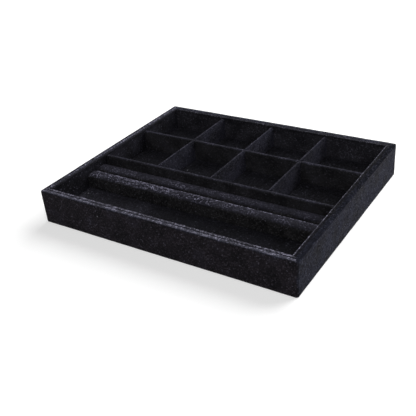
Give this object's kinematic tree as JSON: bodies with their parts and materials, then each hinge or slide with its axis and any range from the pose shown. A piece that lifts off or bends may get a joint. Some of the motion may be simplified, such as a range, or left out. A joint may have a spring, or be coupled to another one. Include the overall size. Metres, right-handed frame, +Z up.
{
  "type": "jewelry drawer organizer",
  "caption": "Flat open velvet tray insert for a drawer, with square compartments, padded ring rolls and a long front channel.",
  "frame": {"origin": "under the middle of the tray, on the surface that it stands on", "axes": "+X to the right along the long side, +Y to the back where the compartments are, +Z up"},
  "size_m": [0.356, 0.3, 0.0455],
  "materials": {
    "outer_velvet": "black velvet, bluish sheen",
    "liner_velvet": "black velvet",
    "divider_velvet": "black velvet",
    "roll_velvet": "black velvet over foam",
    "floor_velvet": "black velvet",
    "underside_felt": "black felt",
    "foam": "soft grey foam",
    "fibreboard": "raw fibreboard",
    "greyboard": "grey card",
    "brad_steel": "bright wire"
  },
  "bodies": {
    "root": {"front_wall_board": "fibreboard", "front_liner_card": "greyboard", "front_liner_velvet": "liner_velvet", "back_wall_board": "fibreboard", "back_liner_card": "greyboard", "back_liner_velvet": "liner_velvet", "left_wall_board": "fibreboard", "left_liner_card": "greyboard", "left_liner_velvet": "liner_velvet", "right_wall_board": "fibreboard", "right_liner_card": "greyboard", "right_liner_velvet": "liner_velvet", "base_board": "fibreboard", "corner_brads": "brad_steel", "outer_velvet": "outer_velvet", "underside_felt": "underside_felt", "floor_foam": "foam", "floor_velvet": "floor_velvet", "front_divider_card": "greyboard", "front_divider_velvet": "divider_velvet", "middle_divider_card": "greyboard", "middle_divider_velvet": "divider_velvet", "left_cross_divider_card": "greyboard", "left_cross_divider_velvet": "divider_velvet", "centre_cross_divider_card": "greyboard", "centre_cross_divider_velvet": "divider_velvet", "right_cross_divider_card": "greyboard", "right_cross_divider_velvet": "divider_velvet", "front_ring_roll_foam": "foam", "front_ring_roll_velvet": "roll_velvet", "rear_ring_roll_foam": "foam", "rear_ring_roll_velvet": "roll_velvet"}
  },
  "joints": []
}
